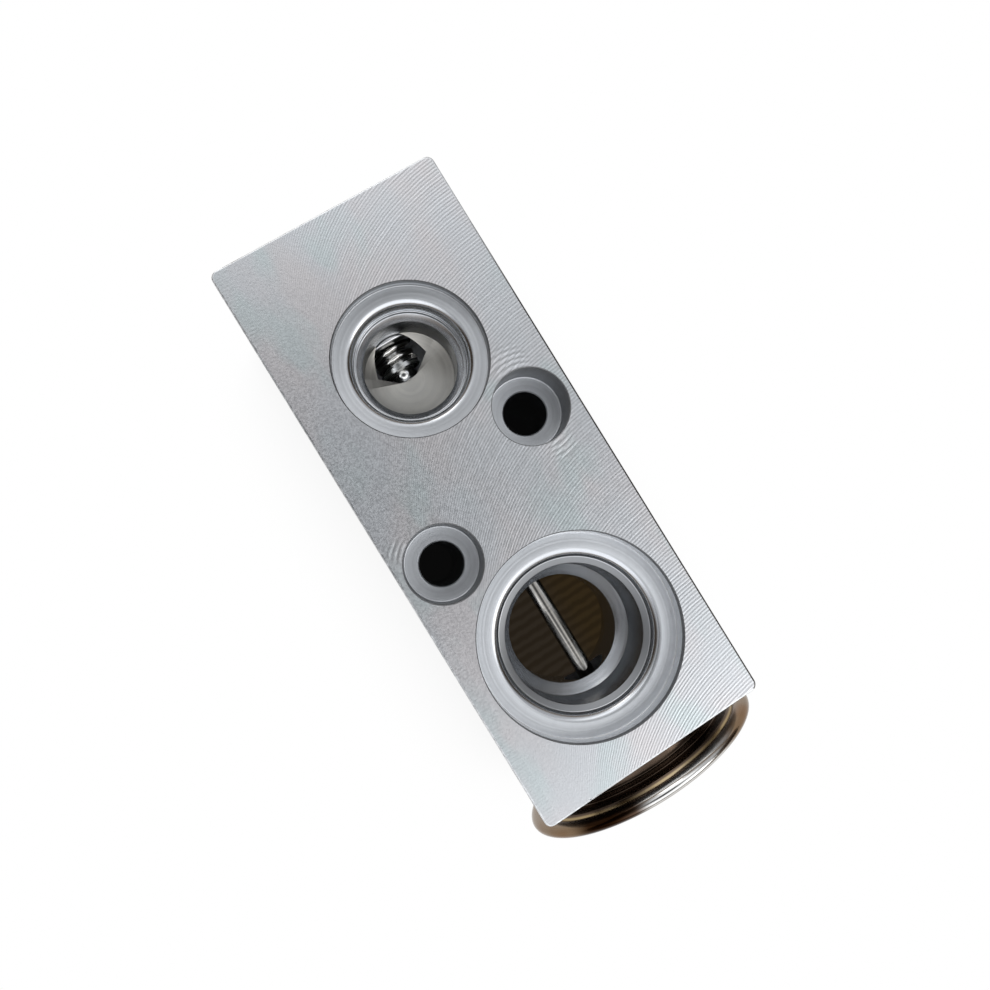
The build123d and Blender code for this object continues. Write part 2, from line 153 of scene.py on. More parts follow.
def rounded(points, radius, steps=5):
    """An outline with its inner corners rounded; a radius list gives one for each point."""
    radii = radius if isinstance(radius, list) else [radius] * len(points)
    straight, longest_share = 0.05, 0.45
    out = [points[0]]
    for i in range(1, len(points) - 1):
        a, p, b = (Vector((*q, 0)) for q in (points[i - 1], points[i], points[i + 1]))
        u, v = (a - p), (b - p)
        turn = u.angle(v, 0)
        if radii[i] <= 0 or turn < straight or abs(turn - pi) < straight:
            out.append(points[i])
            continue
        reach = min(radii[i] / tan(turn / 2), longest_share * u.length, longest_share * v.length)
        arc_radius = reach * tan(turn / 2)
        centre = p + (u.normalized() + v.normalized()).normalized() * (arc_radius / sin(turn / 2))
        spoke = p + u.normalized() * reach - centre
        sweep = (pi - turn) * (-1 if u.x * v.y - u.y * v.x > 0 else 1)
        for k in range(steps + 1):
            angle = sweep * k / steps
            out.append((
                centre.x + spoke.x * cos(angle) - spoke.y * sin(angle),
                centre.y + spoke.x * sin(angle) + spoke.y * cos(angle),
            ))
    out.append(points[-1])
    return out


def lathe_mesh(outline, place, segments, closed=False):
    """A bmesh turned from (radius, height) points about the local Z of place."""
    bm = bmesh.new()
    rings = []
    on_axis = 1e-6
    for radius, height in outline:
        if radius < on_axis:
            rings.append([bm.verts.new(place @ Vector((0, 0, height)))])
            continue
        ring = []
        for k in range(segments):
            angle = 2 * pi * k / segments
            ring.append(bm.verts.new(place @ Vector((radius * cos(angle), radius * sin(angle), height))))
        rings.append(ring)
    pairs = list(zip(rings, rings[1:]))
    if closed:
        pairs.append((rings[-1], rings[0]))
    for low, high in pairs:
        for k in range(segments):
            n = (k + 1) % segments
            if len(low) == 1 and len(high) == 1:
                break
            if len(low) == 1:
                bm.faces.new((low[0], high[n], high[k]))
            elif len(high) == 1:
                bm.faces.new((low[k], low[n], high[0]))
            else:
                bm.faces.new((low[k], low[n], high[n], high[k]))
    return bm


def lathe(name, outline, material, body, replaces, segments, closed=False, sharp=32):
    """A piece turned about the valve axis, which rides on a body and replaces a CAD node."""
    obj = mesh_object(name, lathe_mesh(outline, VALVE_AXIS, segments, closed), material, sharp)
    flatten(obj)
    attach(obj, body)
    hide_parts(replaces)
    return obj


def skin(bm, rings):
    """Faces between rings of equally many points, and a flat face at each end."""
    count = len(rings[0])
    for low, high in zip(rings, rings[1:]):
        for k in range(count):
            n = (k + 1) % count
            bm.faces.new((low[k], low[n], high[n], high[k]))
    bm.faces.new(rings[0])
    bm.faces.new(rings[-1])


# Node helpers
# Most of a noise's values lie between these two
NOISE = (0.3, 0.7)


class Nodes:
    """A node tree, with short calls for what the materials and the world here use."""

    def __init__(self, tree):
        self.tree = tree

    def node(self, kind, **values):
        node = self.tree.nodes.new(kind)
        for key, value in values.items():
            setattr(node, key, value)
        return node

    def link(self, source, target):
        """Feeds a socket from another socket, or sets it to a number or a tuple."""
        if isinstance(source, (int, float, tuple)):
            target.default_value = source
        else:
            self.tree.links.new(source, target)

    def math(self, operation, a, b=0.0):
        node = self.node("ShaderNodeMath", operation=operation)
        self.link(a, node.inputs[0])
        self.link(b, node.inputs[1])
        return node.outputs[0]

    def vector(self, operation, a, b=(0, 0, 0)):
        node = self.node("ShaderNodeVectorMath", operation=operation)
        self.link(a, node.inputs[0])
        self.link(b, node.inputs[1])
        return node.outputs["Value" if operation in ("LENGTH", "DOT_PRODUCT", "DISTANCE") else "Vector"]

    def scaled(self, vector, factor):
        """A vector times a number."""
        node = self.node("ShaderNodeVectorMath", operation="SCALE")
        self.link(vector, node.inputs[0])
        self.link(factor, node.inputs["Scale"])
        return node.outputs["Vector"]

    def place(self):
        """The place on the object in millimetres of the row frame."""
        return self.scaled(self.node("ShaderNodeTexCoord").outputs["Object"], 1 / MM)

    def parts(self, vector):
        node = self.node("ShaderNodeSeparateXYZ")
        self.link(vector, node.inputs[0])
        return node.outputs

    def noise(self, vector, scale, detail=2.0, rough=0.5, dimensions="3D"):
        node = self.node("ShaderNodeTexNoise", noise_dimensions=dimensions)
        self.link(vector, node.inputs["W" if dimensions == "1D" else "Vector"])
        node.inputs["Scale"].default_value = scale
        node.inputs["Detail"].default_value = detail
        node.inputs["Roughness"].default_value = rough
        return node.outputs["Fac"]

    def stretched(self, vector, scale):
        node = self.node("ShaderNodeMapping")
        self.link(vector, node.inputs["Vector"])
        node.inputs["Scale"].default_value = scale
        return node.outputs["Vector"]

    def span(self, value, low, high, to_low=0.0, to_high=1.0, smooth=True):
        node = self.node("ShaderNodeMapRange", interpolation_type="SMOOTHSTEP" if smooth else "LINEAR")
        self.link(value, node.inputs["Value"])
        node.inputs["From Min"].default_value = low
        node.inputs["From Max"].default_value = high
        node.inputs["To Min"].default_value = to_low
        node.inputs["To Max"].default_value = to_high
        return node.outputs["Result"]

    def mix(self, factor, a, b, kind="MIX"):
        node = self.node("ShaderNodeMix", data_type="RGBA", blend_type=kind)
        self.link(factor, node.inputs["Factor"])
        for source, target in ((a, node.inputs["A"]), (b, node.inputs["B"])):
            self.link((*source, 1) if isinstance(source, tuple) else source, target)
        return node.outputs["Result"]

    def toned(self, weight, base, tone):
        """The base colour, multiplied where weight is 1 by a tone: a grey level or a colour."""
        tint = tone if isinstance(tone, tuple) else (tone, tone, tone)
        return self.mix(weight, base, self.mix(1.0, base, tint, "MULTIPLY"))

    def window(self, value, rise, fall):
        """1 between a rise and a fall, each given as the two ends of its slope."""
        return self.math("MULTIPLY", self.span(value, *rise), self.span(value, *fall, 1.0, 0.0))


class Shade(Nodes):
    """A material with a Principled shader, whose height is gathered for one bump.

    In the functions below, s is such a shade and p is the place on its object.
    """

    def __init__(self, name, colour, rough, metal=1.0, **settings):
        self.material = bpy.data.materials.new(name)
        self.material.use_nodes = True
        super().__init__(self.material.node_tree)
        self.shader = self.tree.nodes["Principled BSDF"]
        self.shader.inputs["Base Color"].default_value = (*colour, 1)
        self.shader.inputs["Metallic"].default_value = metal
        self.shader.inputs["Roughness"].default_value = rough
        for socket, value in settings.items():
            self.shader.inputs[socket].default_value = value
        self.height = None

    def add_height(self, value, amount):
        """Adds value times amount, in millimetres, to the surface's height."""
        scaled = self.math("MULTIPLY", value, amount)
        self.height = scaled if self.height is None else self.math("ADD", self.height, scaled)

    def finish(self, colour, rough):
        """The material, with its colour, its roughness and the bump of the gathered height."""
        self.link(colour, self.shader.inputs["Base Color"])
        self.link(rough, self.shader.inputs["Roughness"])
        bump = self.node("ShaderNodeBump")
        bump.inputs["Strength"].default_value = 1.0
        bump.inputs["Distance"].default_value = MM
        self.link(self.height, bump.inputs["Height"])
        self.link(bump.outputs["Normal"], self.shader.inputs["Normal"])
        return self.material


# Aluminium
ALUMINIUM = (0.6, 0.615, 0.635)
PINK_CAST, GREEN_CAST = (1.04, 0.985, 0.965), (0.94, 1.01, 0.99)
PIT_GREY = (0.3, 0.31, 0.32)

# The face mill's radius, the line that its centre followed, and its feed for each turn
CUTTER_RADIUS = 37.6
CUTTER_X = 22.1
CUTTER_PITCH = 0.46


def times(colour, factors):
    """A colour with its three channels scaled, each by its own factor."""
    return tuple(min(1.0, c * k) for c, k in zip(colour, factors))


def tinted(shade, vector, base, amount=1.0):
    """The faint colour drift of bare machined metal: pink, green and grey, in soft bands along Y."""
    banded = shade.stretched(vector, (1.0, 0.45, 1.0))
    elsewhere = shade.vector("ADD", banded, (40, 10, 7))
    pink = shade.span(shade.noise(banded, 0.11), 0.35, 0.65, 0, amount)
    green = shade.span(shade.noise(elsewhere, 0.16), 0.48, 0.68, 0, 0.8 * amount)
    return shade.mix(green, shade.mix(pink, base, times(base, PINK_CAST)), times(base, GREEN_CAST))


def shades(shade, value, low, high, base, darker, lighter):
    """A base colour that runs from darker to lighter as value goes from low to high."""
    dark = shade.toned(1.0, base, darker)
    light = shade.toned(1.0, base, lighter)
    return shade.mix(shade.span(value, low, high, smooth=False), dark, light)


CHATTER_PITCH = 0.72
# Where the cutters of the bolt holes chattered: hole, then the patch's place and reach
CHATTER = (
    (BOLTS[0], (11.0, 31.2), 3.8),
    (BOLTS[0], (11.6, 44.4), 2.8),
    (BOLTS[1], (-15.2, 45.2), 2.4),
)


def milled_face():
    """The front face: arcs of a face mill that was fed along the block."""
    line_height, chatter_height, grain_height, fine_height = 0.0075, 0.01, 0.013, 0.006
    s = Shade("milled_face", ALUMINIUM, rough=0.4)
    p = s.place()
    x, y, _ = s.parts(p)
    station = s.math("SUBTRACT", END_Y, y)
    across = s.math("SUBTRACT", CUTTER_X, x)
    inside = s.math("SUBTRACT", CUTTER_RADIUS**2, s.math("MULTIPLY", across, across))
    feed = s.math("ADD", station, s.math("SQRT", s.math("MAXIMUM", inside, 0.5)))
    wander = s.math("MULTIPLY", s.noise(p, 0.3), 0.25)
    phase = s.math("DIVIDE", s.math("ADD", feed, wander), CUTTER_PITCH)
    wave = s.math("SINE", s.math("MULTIPLY", phase, 2 * pi))
    uneven = s.span(s.noise(phase, 0.9, detail=1.0, dimensions="1D"), *NOISE, 0.45, 1.0)
    patch = s.span(s.noise(p, 0.12, detail=1.0), *NOISE, 0.7, 1.0)
    side = s.span(x, -14, 2, 0.15, 1.0)
    lines = s.math("MULTIPLY", s.math("MULTIPLY", wave, uneven), s.math("MULTIPLY", side, patch))
    s.add_height(lines, line_height)

    chatter = None
    for (hole_x, hole_station), (spot_x, spot_station), reach in CHATTER:
        ring = s.vector("DISTANCE", p, (hole_x, END_Y - hole_station, FRONT_Z))
        ripple = s.math("SINE", s.math("MULTIPLY", ring, 2 * pi / CHATTER_PITCH))
        spot = s.vector("DISTANCE", p, (spot_x, END_Y - spot_station, FRONT_Z))
        patch_here = s.math("MULTIPLY", ripple, s.span(spot, 0.3 * reach, reach, 1.0, 0.0))
        chatter = patch_here if chatter is None else s.math("ADD", chatter, patch_here)
    s.add_height(chatter, chatter_height)

    grain = s.noise(p, 3.2, detail=3.0, rough=0.6)
    s.add_height(grain, grain_height)
    s.add_height(s.noise(s.stretched(p, (1.0, 0.35, 1.0)), 9.0), fine_height)

    # The lines and the chatter also go into the colour, as painted light and shade on their flanks
    marks = s.math("MULTIPLY", s.math("ADD", lines, s.math("MULTIPLY", chatter, 1.2)), 0.5)
    base = shades(s, marks, -0.5, 0.5, tinted(s, p, ALUMINIUM), 0.73, 1.22)
    base = shades(s, grain, *NOISE, base, 0.95, 1.05)
    pits = s.span(s.noise(p, 1.7, detail=4.0, rough=0.7), 0.69, 0.74, 0.0, 0.45)
    return s.finish(s.mix(pits, base, PIT_GREY), s.span(grain, *NOISE, 0.34, 0.44))


def milled_side(name, scale):
    """The other faces: straight fine lines and a dull grain."""
    streak_height, grain_height = 0.01, 0.005
    s = Shade(name, ALUMINIUM, rough=0.45)
    p = s.place()
    streaks = s.noise(s.stretched(p, scale), 4.0, detail=3.0, rough=0.6)
    s.add_height(streaks, streak_height)
    grain = s.noise(p, 3.5)
    s.add_height(grain, grain_height)
    base = shades(s, streaks, *NOISE, tinted(s, p, ALUMINIUM, 0.4), 0.88, 1.06)
    return s.finish(base, s.span(grain, *NOISE, 0.4, 0.5))


def around(shade, vector, place):
    """The distance from the local Z of place and the height along it; the grain runs round it."""
    axis = tuple((place.to_3x3() @ Vector((0, 0, 1))).normalized())
    offset = shade.vector("SUBTRACT", vector, tuple(place.translation))
    height = shade.vector("DOT_PRODUCT", offset, axis)
    spoke = shade.vector("SUBTRACT", offset, shade.scaled(axis, height))
    tangent = shade.vector("NORMALIZE", shade.vector("CROSS_PRODUCT", axis, spoke))
    shade.link(tangent, shade.shader.inputs["Tangent"])
    return shade.vector("LENGTH", spoke), height


# Painted shade: brownish deep in a bore, and dark on the wall near its mouth
DEEP_SHADE_BROWN = (0.68, 0.64, 0.57)
SMEAR_TONE, MOUTH_SHADE_TONE = (0.86, 0.86, 0.86), 0.3


def turned(
    name, place, colour=ALUMINIUM, *, rough, pitch=0.16, depth=0.0012, shine=0.3, grooves=0.012,
    satin=0.0, painted_recess_tone=1.0, bands=(), deep_shade_depth=0.0, mouth_shade_depth=0.0,
):
    """A turned surface: fine rings about the local Z of place, and a highlight stretched across them.

    Down to the depth of satin it has the duller cut of a form tool, and a tone that is painted light
    above 1 and painted shade below 1. Each band is duller and has its own tone between two radii, painted
    light and shade in the same way. The wall has a painted shade near the mouth and a brownish painted
    shade deep down, each bounded by a given depth.
    """
    fine_height, satin_height = 0.002, 0.008
    satin_dulls, band_dulls, deep_shade_dulls = 0.24, 0.25, 0.12
    satin_slope, band_slope, deep_shade_slope, mouth_share = 0.1, 0.05, 0.2, 0.6
    s = Shade(name, colour, rough=rough, Anisotropic=shine)
    p = s.place()
    radius, height = around(s, p, place)
    path = s.math("ADD", radius, height)
    s.add_height(s.math("SINE", s.math("MULTIPLY", path, 2 * pi / pitch)), depth)
    uneven = s.noise(path, 2.2, detail=3.0, dimensions="1D")
    s.add_height(uneven, grooves)
    s.add_height(s.noise(p, 6.0), fine_height)
    base = shades(s, uneven, *NOISE, colour, 0.9, 1.06)
    smeared = s.span(s.noise(p, 0.8), 0.45, 0.75, 0, 0.35)
    base = s.mix(smeared, base, times(colour, SMEAR_TONE))
    gloss = s.span(uneven, 0.25, 0.75, rough * 0.85, rough * 1.2)
    if satin:
        dull = s.span(height, satin, satin + satin_slope, 1.0, 0.0)
        s.add_height(s.math("MULTIPLY", s.noise(p, 4.0), dull), satin_height)
        gloss = s.math("ADD", gloss, s.math("MULTIPLY", dull, satin_dulls))
        # A tone of painted light above 1 and painted shade below 1 over the counterbore
        base = s.toned(dull, base, painted_recess_tone)
    # Rings of painted light and shade, each with its own tone
    for inner, outer, tone in bands:
        inside = s.window(radius, (inner, inner + band_slope), (outer - band_slope, outer))
        gloss = s.math("ADD", gloss, s.math("MULTIPLY", inside, band_dulls))
        base = s.toned(inside, base, tone)
    # A painted shade on the wall near the mouth
    if mouth_shade_depth:
        mouth_shade = s.span(height, mouth_shade_depth * mouth_share, mouth_shade_depth, 1.0, 0.0)
        base = s.toned(mouth_shade, base, MOUTH_SHADE_TONE)
    # A brownish painted shade deep in the bore
    if deep_shade_depth:
        deep = s.span(height, deep_shade_depth - deep_shade_slope, deep_shade_depth)
        gloss = s.math("ADD", gloss, s.math("MULTIPLY", deep, deep_shade_dulls))
        base = s.toned(deep, base, DEEP_SHADE_BROWN)
    return s.finish(base, gloss)


def painted_wall_band(radius, tone):
    """A band that takes in a counterbore's wall and broken edge, with a tone of painted light above 1 and
    painted shade below 1.
    """
    inside, outside = 0.08, 0.5
    return (radius - inside, radius + outside, tone)


face_metal = milled_face()
side_metal = milled_side("side_metal", (1.0, 0.06, 1.0))
end_metal = milled_side("end_metal", (0.1, 1.0, 1.0))
back_metal = milled_side("back_metal", (1.0, 0.08, 1.0))
# Painted light and shade in the ports: the tones of counterbores and bands, the dark mouths and the brownish
# depths
inlet_metal = turned(
    "inlet_metal", front(INLET_STATION), rough=0.2, shine=0.45, grooves=0.004,
    satin=INLET_FLOOR, painted_recess_tone=0.92, deep_shade_depth=INLET_BORE_DEPTH, mouth_shade_depth=1.2,
)
outlet_metal = turned("outlet_metal", back(OUTLET_STATION), rough=0.22, satin=OUTLET_FLOOR)
painted_gland_band = (SUCTION_BORE_RADIUS + 0.02, SUCTION_GLAND_RADIUS - 0.03, 0.5)
suction_metal = turned(
    "suction_metal", front(SUCTION_STATION), rough=0.2, satin=SUCTION_FLOOR, painted_recess_tone=1.12,
    bands=(painted_gland_band, painted_wall_band(SUCTION_FACE_RADIUS, 1.4)), mouth_shade_depth=1.3,
)
bolt_metals = [
    turned(
        f"bolt_metal_{i}", front(station, x), rough=0.22, grooves=0.004,
        satin=BOLT_HEAD_DEPTH + 0.1, painted_recess_tone=0.92, bands=(painted_wall_band(BOLT_HEAD_RADIUS, 0.75),),
    )
    for i, (x, station) in enumerate(BOLTS)
]
bore_metal = turned("bore_metal", VALVE_AXIS, (0.5, 0.51, 0.52), rough=0.34)


# The dark edge colour is painted shade, a dark reflection painted along the front's right edges; it gives way
# to the bright colour between the two stations, towards the adjuster end.
BRIGHT_EDGE, PAINTED_SHADE_EDGE = (0.66, 0.67, 0.68), (0.07, 0.065, 0.06)
BRIGHT_STATION, DARK_STATION = 4, 26


def edge_metal(name, colour):
    """The narrow broken edges of the block, smeared by the deburring tool, bright at the adjuster end; in a
    dark colour they are painted shade.
    """
    s = Shade(name, colour, rough=0.3)
    p = s.place()
    smear = s.noise(p, 1.4, detail=3.0)
    smear_height = 0.02
    s.add_height(smear, smear_height)
    bright = s.span(s.parts(p)[1], END_Y - DARK_STATION, END_Y - BRIGHT_STATION)
    base = s.mix(bright, colour, BRIGHT_EDGE)
    return s.finish(shades(s, smear, *NOISE, base, 0.7, 1.2), s.span(smear, *NOISE, 0.24, 0.4))


bright_edge = edge_metal("bright_edge", BRIGHT_EDGE)
# Painted shade: the dark reflection painted on the front's right edges
painted_shade_edge = edge_metal("painted_shade_edge", PAINTED_SHADE_EDGE)


# The block
def block_mesh():
    """The bare block: a rounded rectangle carried through its depth, with broken edges."""
    bm = bmesh.new()
    middle_y = END_Y - LENGTH / 2
    knee = EDGE_BREAK * 0.3
    levels = [(BACK_Z, EDGE_BREAK), (BACK_Z + knee, knee), (BACK_Z + EDGE_BREAK, 0)]
    levels += [(FRONT_Z - EDGE_BREAK, 0), (FRONT_Z - knee, knee), (FRONT_Z, EDGE_BREAK)]
    rings = []
    steps = 10
    for z, inset in levels:
        ring = []
        radius = CORNER_RADIUS - inset
        for corner, (sx, sy) in enumerate(((1, 1), (-1, 1), (-1, -1), (1, -1))):
            cx, cy = sx * (HALF_WIDTH - CORNER_RADIUS), middle_y + sy * (LENGTH / 2 - CORNER_RADIUS)
            for k in range(steps + 1):
                angle = (corner + k / steps) * pi / 2
                ring.append(bm.verts.new((cx + radius * cos(angle), cy + radius * sin(angle), z)))
        rings.append(ring)
    skin(bm, rings)
    return bm


def lip(radius, depth, size):
    """Points of the rounded lip from a counterbore's floor into a bore."""
    points = []
    steps = 10
    for k in range(steps + 1):
        angle = pi / 2 * k / steps
        points.append((radius + size * (1 - sin(angle)), depth + size * (1 - cos(angle))))
    return points


def drill_point(radius):
    """The height of a drill's cone."""
    return radius / tan(radians(DRILL_ANGLE / 2))


def mouth(radius):
    """A cutter's way out of the face, with the mouth's broken edge."""
    edge = radius + FINE_BREAK
    return [(0, -CUTTER_REACH), (edge, -CUTTER_REACH), (edge, 0), (radius, FINE_BREAK)]


def counterbore(face, floor, bore, lip_size, fillet, dish=0.0):
    """A cutter from outside the face down to the bore: broken edge, wall, floor and rounded lip."""
    corner = [(face, FINE_BREAK), (face, floor - dish), (bore + lip_size, floor)]
    return mouth(face) + rounded(corner, fillet)[1:-1] + lip(bore, floor, lip_size)


def inlet_outline():
    """The small front port: counterbore, O-ring gland, bore and the drill's cone."""
    face, gland, gland_depth, ledge, rise, bore = 10.93, 8.1, 4.8, 0.4, 0.9, 6.76
    lip_size, fillet, dish = 1.15, 0.18, 0.12
    points = counterbore(face, INLET_FLOOR, gland, lip_size, fillet, dish)
    tail = [(gland, INLET_FLOOR + lip_size), (bore + rise + ledge, gland_depth), (bore + rise, gland_depth)]
    tail += [(bore, gland_depth + rise), (bore, INLET_BORE_DEPTH)]
    tail += [(0, INLET_BORE_DEPTH + drill_point(bore))]
    return points + rounded(tail, [0, 0.15, 0.12, 0.1, 0.05, 0], steps=3)[1:]


def outlet_outline():
    """The small back port, whose drilling crosses the orifice's far end."""
    face, bore, bore_depth, drill = 8.9, 6.4, 11.4, 2.7
    lip_size, fillet = 0.9, 0.18
    drill_end = DEPTH / 2 + drill
    points = counterbore(face, OUTLET_FLOOR, bore, lip_size, fillet)
    points += [(bore, bore_depth), (drill, bore_depth + drill_point(bore - drill)), (drill, drill_end)]
    return points + [(0, drill_end)]


def suction_outline():
    """The passage: the same port on both faces, mirrored at half the block's depth."""
    gland, bore, hole = SUCTION_GLAND_RADIUS, SUCTION_BORE_RADIUS, SUCTION_HOLE_RADIUS
    bore_depth, hole_depth, lip_size, fillet, rise = 13.0, 14.4, 1.35, 0.2, 0.4
    ledge_depth = SUCTION_FLOOR + lip_size
    points = counterbore(SUCTION_FACE_RADIUS, SUCTION_FLOOR, gland, lip_size, fillet)
    tail = [(gland, ledge_depth), (bore, ledge_depth + rise), (bore, bore_depth), (hole, hole_depth)]
    tail += [(hole, DEPTH / 2)]
    half = points + rounded(tail, [0, 0.14, 0.25, 0.12, 0], steps=4)[1:]
    return half + [(radius, DEPTH - depth) for radius, depth in reversed(half[:-1])]


def bolt_outline():
    """A bolt hole with the flat counterbore for its screw's head."""
    head, hole, floor = BOLT_HEAD_RADIUS, BOLT_RADIUS, BOLT_HEAD_DEPTH
    fillet, chamfer, exit_chamfer = 0.3, 0.15, 0.3
    corner = [(head, FINE_BREAK), (head, floor), (hole + chamfer, floor)]
    points = mouth(head) + rounded(corner, fillet, steps=4)[1:]
    points += [(hole, floor + chamfer), (hole, DEPTH - exit_chamfer)]
    wide = hole + exit_chamfer
    return points + [(wide, DEPTH), (wide, DEPTH + CUTTER_REACH), (0, DEPTH + CUTTER_REACH)]


def axis_outline():
    """Everything cut along the valve axis, from the adjuster end to the head end."""
    cone_angle = 60
    cone = (CHAMBER_RADIUS - CHAMBER_FLOOR_RADIUS) / tan(radians(cone_angle))
    land, land_end, thread, thread_end, relief, chamfer = 7.4, 5.9, 7.0, 13.05, 0.05, 0.6
    guide, pocket, pocket_depth, head_opening, edge = 1.4, 2.88, 4.6, 3.5, 0.08
    hub_bore, hub_gap, groove, seal = 12.05, 0.4, 13.75, 1.7
    head_floor = LENGTH - HUB_DEPTH - hub_gap
    pocket_floor = SUCTION_STATION - SUCTION_HOLE_RADIUS - pocket_depth
    points = [(0, -CUTTER_REACH), (land + chamfer, -CUTTER_REACH), (land + chamfer, 0), (land, chamfer)]
    points += [(land, land_end - relief)]
    points += [(thread, land_end + relief), (thread, thread_end), (CHAMBER_RADIUS, thread_end + relief)]
    points += [(CHAMBER_RADIUS, SEAT_STATION - cone), (CHAMBER_FLOOR_RADIUS, SEAT_STATION)]
    points += [(ORIFICE_RADIUS + edge, SEAT_STATION), (ORIFICE_RADIUS, SEAT_STATION + edge)]
    points += [(ORIFICE_RADIUS, OUTLET_STATION), (guide, OUTLET_STATION), (guide, pocket_floor)]
    points += [(pocket, pocket_floor), (pocket, SUCTION_STATION), (head_opening, SUCTION_STATION)]
    points += [(head_opening, head_floor), (hub_bore, head_floor), (hub_bore, LENGTH - seal)]
    return points + [(groove, LENGTH - seal), (groove, LENGTH + CUTTER_REACH), (0, LENGTH + CUTTER_REACH)]


def cut(target, name, bm, material):
    """Cuts a closed mesh out of target, which takes the cutter's material there."""
    cutter = mesh_object(name, bm, material)
    modifier = target.modifiers.new(name, "BOOLEAN")
    modifier.operation = "DIFFERENCE"
    modifier.solver = "EXACT"
    modifier.material_mode = "TRANSFER"
    modifier.object = cutter
    bpy.context.view_layer.update()
    evaluated = target.evaluated_get(bpy.context.evaluated_depsgraph_get())
    mesh = bpy.data.meshes.new_from_object(evaluated)
    target.modifiers.remove(modifier)
    old = target.data
    target.data = mesh
    bpy.data.meshes.remove(old)
    bpy.data.objects.remove(cutter)


def nick(place, size, turn):
    """The cutter of a small uneven dent, from its half sizes and its turn in degrees."""
    bm = bmesh.new()
    bmesh.ops.create_icosphere(bm, subdivisions=2, radius=1.0)
    unevenness = 0.18
    for vert in bm.verts:
        vert.co *= 1 + unevenness * sin(5 * vert.co.x + 3 * vert.co.y) * cos(4 * vert.co.z)
    turned_place = Matrix.Translation(place) @ Matrix.Rotation(radians(turn), 4, "Z")
    bm.transform(turned_place @ Matrix.Diagonal((*size, 1)))
    return bm


def metal_for(normal):
    """The finish of a face of the bare block, by the way it faces; the front's right edge has painted shade.
    """
    flat, tilted, end_share = 0.99, 0.2, 0.25
    if abs(normal.z) > flat:
        return face_metal if normal.z > 0 else back_metal
    if abs(normal.z) > tilted:
        # The front's right edges take the painted shade
        painted_shade_side = normal.x - end_share * normal.y > tilted
        return painted_shade_edge if painted_shade_side and normal.z > 0 else bright_edge
    return side_metal if abs(normal.x) > abs(normal.y) else end_metal


def dress_block():
    """The block with its finishes, its bores and seven nicks along the front edges."""
    block = mesh_object("block", block_mesh(), face_metal)
    mesh = block.data
    metals = (face_metal, back_metal, side_metal, end_metal, bright_edge, painted_shade_edge)
    for metal in metals[1:]:
        mesh.materials.append(metal)
    for face in mesh.polygons:
        face.material_index = metals.index(metal_for(face.normal))
    cut(block, "cut_axis", lathe_mesh(axis_outline(), VALVE_AXIS, 144), bore_metal)
    cut(block, "cut_suction", lathe_mesh(suction_outline(), front(SUCTION_STATION), 224), suction_metal)
    cut(block, "cut_inlet", lathe_mesh(inlet_outline(), front(INLET_STATION), 200), inlet_metal)
    cut(block, "cut_outlet", lathe_mesh(outlet_outline(), back(OUTLET_STATION), 160), outlet_metal)
    for i, (x, station) in enumerate(BOLTS):
        cut(block, f"cut_bolt_{i}", lathe_mesh(bolt_outline(), front(station, x), 128), bolt_metals[i])
    left, right = -HALF_WIDTH, HALF_WIDTH
    for x, station, size, turn in (
        (-15.1, 0.02, (0.28, 0.16, 0.3), 10),
        (-9.6, 0.0, (0.9, 0.12, 0.2), 4),
        (8.2, 0.0, (0.35, 0.13, 0.2), -8),
        (left, 49.1, (0.2, 0.42, 0.3), 12),
        (left, 79.6, (0.16, 0.5, 0.25), -6),
        (-10.6, LENGTH - 0.35, (0.1, 0.42, 0.12), 25),
        (right, 21.5, (0.1, 0.3, 0.2), 0),
    ):
        cut(block, "nick", nick((x, END_Y - station, FRONT_Z), size, turn), face_metal)
    smooth(block.data, 30)
    flatten(block)
    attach(block, "body")
    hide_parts("valve_body")


dress_block()


# The power head
RIM_RADIUS, BEAD = 19.4, 1.0
COLLAR_TOP = LENGTH + 2.4
DISH_EDGE = COLLAR_TOP + 0.9
RIM_STATION = DISH_EDGE + 1.15
BEAD_CENTRE = RIM_RADIUS - BEAD
DIAPHRAGM_STATION = RIM_STATION - 0.1
FLANGE_STATION = DIAPHRAGM_STATION + 0.15
SHEET = 0.7

# Painted light and shade on the head: a painted shade and dark reflection inside the rim, with a painted
# golden highlight at its edge, painted brown reflections at the rim's sides, and painted dark reflections
# in a patch on the left and along the rim's outer edge. A pair is where a change starts and where it ends.
STEEL = (0.66, 0.65, 0.63)
HEAT_TINT = (0.84, 0.6, 0.4)
PAINTED_UNDERSIDE_SHADE, PAINTED_UNDERSIDE_WARM, PAINTED_GOLDEN_HIGHLIGHT = (0.085, 0.06, 0.044), (0.15, 0.11, 0.075), (0.32, 0.24, 0.13)
PAINTED_UNDERSIDE_RADII = (RIM_RADIUS - 2.2, RIM_RADIUS - 1.2)
GOLDEN_HIGHLIGHT_FROM, GOLDEN_HIGHLIGHT_TO = (RIM_RADIUS - 2.5, RIM_RADIUS - 2.4), (RIM_RADIUS - 2.3, RIM_RADIUS - 2.2)
BRIGHT_X, PAINTED_BROWN_REFLECTION, PAINTED_BROWN_FROM = 1.5, (0.34, 0.26, 0.18), (5.5, 11.0)
PAINTED_DARK_PATCH, PAINTED_DARK_PATCH_FROM, PAINTED_DARK_PATCH_TO = (0.16, 0.11, 0.08), (-15.5, -12.5), (-6.5, -3.5)
PAINTED_EDGE_SHADE_STATIONS, PAINTED_EDGE_SHADE_TONE = (RIM_STATION + 0.5 * BEAD, RIM_STATION + 0.72 * BEAD), (0.3, 0.24, 0.18)


